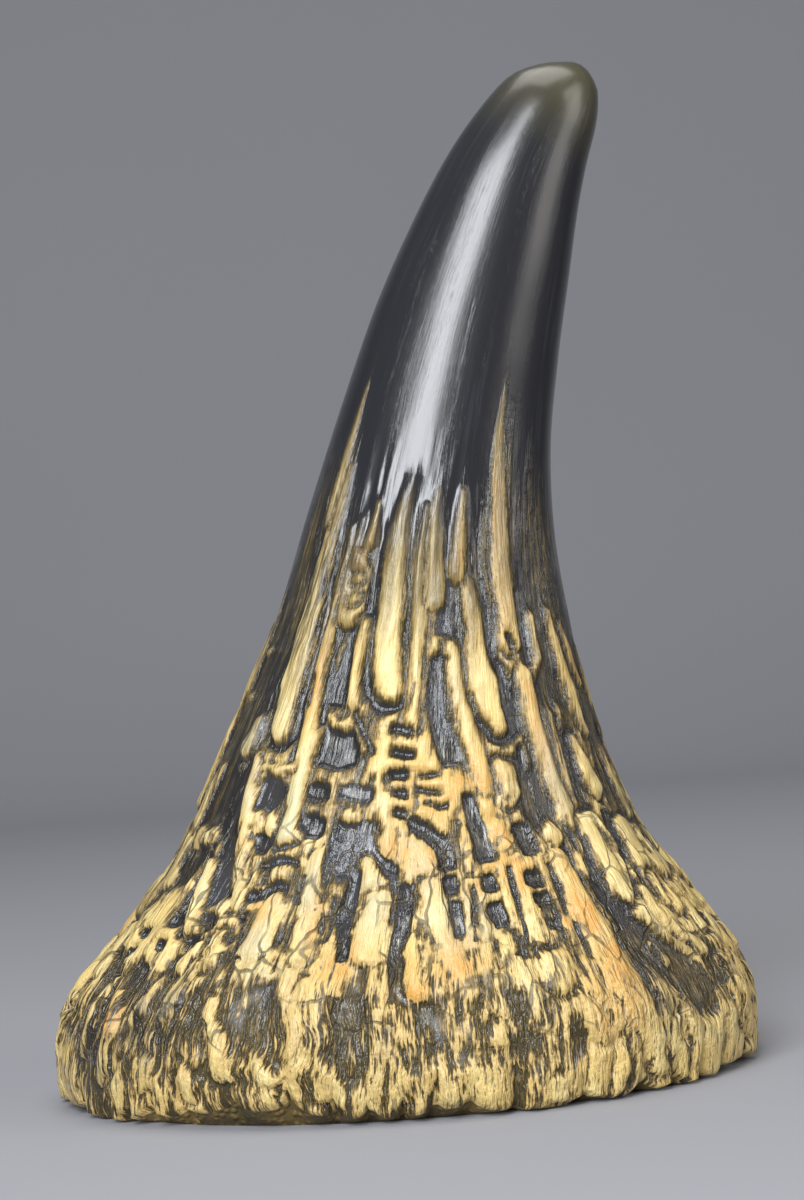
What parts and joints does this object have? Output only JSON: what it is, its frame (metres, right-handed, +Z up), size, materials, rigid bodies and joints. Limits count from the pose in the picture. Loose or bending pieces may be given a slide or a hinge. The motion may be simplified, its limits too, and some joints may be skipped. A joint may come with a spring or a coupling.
{
  "type": "rhinoceros horn",
  "caption": "Curved keratin horn on a flared, fibrous, knobbly foot, tapering to a smooth dark blunt tip; stands upright on its dished cut base.",
  "frame": {"origin": "centre of the foot's outline, in the plane the horn rests on", "axes": "+Z up from the cut base to the tip, +X the way the tip leans, +Y across the horn"},
  "size_m": [0.1584, 0.1228, 0.2275],
  "materials": {
    "keratin": "polished keratin: near-black and glossy at the tip, cream and brown with dark grey channels below, fibrous at the foot"
  },
  "bodies": {
    "root": {"horn": "keratin"}
  },
  "joints": []
}
